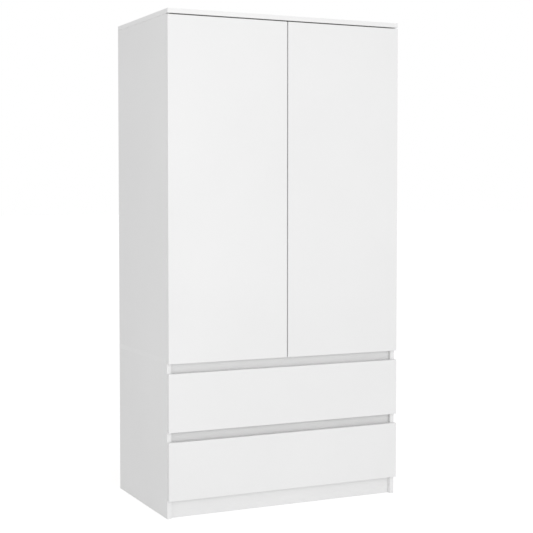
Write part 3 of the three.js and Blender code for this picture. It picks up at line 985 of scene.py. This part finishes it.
def make_rail_sockets(middle, wide, tall):
    """Cups that take the rail's ends, each on a plate with two screws."""
    low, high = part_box("left_rail_socket")
    corner, mouth, face = SOCKET_CORNER, high.x, low.x + SOCKET_PLATE
    root = low.x + SOCKET_PLATE / 2  # inside the plate

    def ring(x, grow):
        return [Vector((x, y, z)) for y, z in oval(middle, wide + 2 * grow, tall + 2 * grow)]

    collar = [
        ring(root, SOCKET_PLAY),
        ring(mouth - corner, SOCKET_PLAY),
        ring(mouth, SOCKET_PLAY + corner),
        ring(mouth, SOCKET_WALL - corner),
        ring(mouth - corner, SOCKET_WALL),
        ring(face + SOCKET_FILLET, SOCKET_WALL),
        ring(face, SOCKET_WALL + SOCKET_FILLET),
        ring(root, SOCKET_WALL + SOCKET_FILLET),
    ]
    base = oval(middle, high.y - low.y, high.z - low.z)
    inner = oval(middle, high.y - low.y - 2 * corner, high.z - low.z - 2 * corner)
    bm = bmesh.new()
    rows = [(base, low.x), (base, face - corner), (inner, face)]
    skin(bm, [[Vector((x, *p)) for p in outline] for outline, x in rows])
    solid = combined(finished(bm, "plate"), mesh_of(skin, collar, wrap=True), "UNION")
    screws = [((face, middle.y, middle.z + s * SOCKET_SCREWS), X) for s in (-1, 1)]
    for side in SIDES:
        name = f"{side}_rail_socket"
        mesh = copied(solid, name, Vector(), side)
        piece(name + "_cup", mesh, "carcass", "nickel_steel", [NICKEL], [name])
        add_fittings(name + "_screws", screw_head, "carcass", "nickel_steel", NICKEL, screws, side)


# ---- Drawers ------------------------------------------------------------------------------------

BOX_FIXING_INSET = 36 * MM  # of cams and screws, from the top and bottom of the box
BOX_COVER_SIZE = {"radius": 7.5 * MM, "height": 0.8 * MM}
BOX_SCREW_SIZE = {"height": 0.8 * MM}


def make_drawer(name):
    """A front, sides and back round a bottom that lies in their groove."""
    bottom_low, bottom_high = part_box(name + "_bottom")
    play = Vector((GROOVE_PLAY, GROOVE_PLAY, GROOVE_PLAY))
    groove = mesh_of(add_block, bottom_low - play, bottom_high + play, CORE)
    add_board(name + "_front", [groove.copy()], radius=FRONT_RADIUS)
    add_board(name + "_back", bare=[X, -X])
    add_sheet(name + "_bottom", name + "_bottom_sheet", Z)
    for side in SIDES:
        add_board(f"{name}_{side}_side", [groove.copy()], bare=[-Y, Y])
    make_drawer_fittings(name)


def make_drawer_fittings(name):
    """Cam covers inside the box near the front, and screws through the sides into the back."""
    low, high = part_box(name + "_left_side")
    back_low, back_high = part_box(name + "_back")
    levels = [low.z + BOX_FIXING_INSET, high.z - BOX_FIXING_INSET]
    covers = [((high.x, low.y + CAM_INSET, z), X) for z in levels]
    screws = [((low.x, (back_low.y + back_high.y) / 2, z), -X) for z in levels]
    white, steel = ("white_board", WHITE_PLASTIC), ("slide_steel", ZINC)
    for side in SIDES:
        start = f"{name}_{side}"
        add_fittings(start + "_cam_covers", flat_cap, name, *white, covers, side, **BOX_COVER_SIZE)
        add_fittings(start + "_back_screws", screw_head, name, *steel, screws, side, **BOX_SCREW_SIZE)


# ---- Drawer slides ------------------------------------------------------------------------------

CABINET_BEND = 2 * MM  # outer radius of the channel's bends
DRAWER_BEND = 1.6 * MM
ROLLED_TIP = 0.5 * MM  # radius at the flanges' edges
ROLLED_CORNER = 0.2 * MM
CAGE_PLATE = 0.8 * MM
CAGE_BENDS = (1 * MM, 0, 0.4 * MM)  # in the same order as ARM_BENDS
BALL_RADIUS = 1.85 * MM
BALLS = 5
BALL_ROW = 14.15 * MM  # above and below the slide's middle
BALL_OUT = 4.5 * MM  # from the cage's web
CAGE_LIP = 2.5 * MM  # past the balls' middles
SEAT_RADIUS = 1.95 * MM
SEAT_HALF = 2 * MM
SLIDE_SCREWS = (35 * MM, 163 * MM, 355 * MM)  # from a channel's front end
SLIDE_SCREW_SIZE = {"radius": 3.2 * MM, "height": 0.45 * MM}


def rolled_channel(node, opens, bend):
    """A channel along Y that fills a node's box. opens is the side it is open to, +1 or -1 on X."""
    low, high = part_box(node)
    web, lip = (low.x, high.x) if opens > 0 else (high.x, low.x)
    bends = (bend, ROLLED_TIP, bend - STEEL * 0.7)
    bm = bmesh.new()
    pushed(bm, channel_outline(web, lip, low.z, high.z, STEEL, bends), "y", low.y, high.y)
    softened(bm, ROLLED_CORNER, angle=70)
    return bm


def make_slide(name, side):
    """The two channels of a slide, with their screws, and the balls between them."""
    start = f"{name}_{side}"
    left = f"{name}_left"
    rolled = (
        (left + "_cabinet_runner", "carcass", 1, CABINET_BEND, "_cabinet_channel"),
        (left + "_drawer_runner", name, -1, DRAWER_BEND, "_drawer_channel"),
    )
    for node, body, opens, bend, ending in rolled:
        low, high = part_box(node)
        mesh = finished(rolled_channel(node, opens, bend), start, side)
        piece(start + ending, mesh, body, "slide_steel", [ZINC], [node.replace("left", side)])
        face = (low.x if opens > 0 else high.x) + opens * STEEL
        middle = (low.z + high.z) / 2
        places = [((face, low.y + y, middle), X * opens) for y in SLIDE_SCREWS]
        finish = (body, "slide_steel", ZINC)
        add_fittings(start + ending + "_screws", screw_head, *finish, places, side, **SLIDE_SCREW_SIZE)
    make_ball_cage(name, side)


def make_ball_cage(name, side):
    """The strip that holds the balls apart, with a round seat at each ball."""
    node = f"{name}_left_ball_cage"
    low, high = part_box(node)
    middle = (low.z + high.z) / 2
    ball_x = low.x + BALL_OUT
    lip = ball_x + CAGE_LIP
    half = BALL_ROW + CAGE_PLATE / 2
    outline = channel_outline(low.x, lip, middle - half, middle + half, CAGE_PLATE, CAGE_BENDS)
    strip = mesh_of(pushed, outline, "y", low.y, high.y)
    balls, seats = bmesh.new(), bmesh.new()
    step = (high.y - low.y) / BALLS
    ball = {"u_segments": 24, "v_segments": 16, "radius": BALL_RADIUS}
    seat = [(SEAT_RADIUS, 0), (SEAT_RADIUS, 2 * SEAT_HALF)]
    for i in range(BALLS):
        for s in (-1, 1):
            place = Vector((ball_x, low.y + step * (i + 0.5), middle + s * BALL_ROW))
            bmesh.ops.create_uvsphere(balls, matrix=Matrix.Translation(place), **ball)
            turned(seats, place - Z * SEAT_HALF, Z, seat, count=24)
    strip = combined(strip, finished(seats, "seats"))
    start, body = f"{name}_{side}", f"{name}_ball_cages"
    mesh = copied(strip, start, Vector(), side)
    piece(start + "_ball_strip", mesh, body, "ball_cages", [RETAINER], [f"{start}_ball_cage"])
    piece(start + "_balls", finished(balls, start, side), body, "ball_cages", [BALL_STEEL])


# ---- The assembly -------------------------------------------------------------------------------

bpy.context.scene.view_settings.view_transform = "Standard"
make_camera()
make_sky()
make_soft_boxes()
make_floor()
make_carcass()
make_carcass_fittings()
make_back()
make_doors()
make_hinges()
make_hanging_rail()
for drawer in ("drawer_1", "drawer_2"):
    make_drawer(drawer)
    for side in SIDES:
        make_slide(drawer, side)
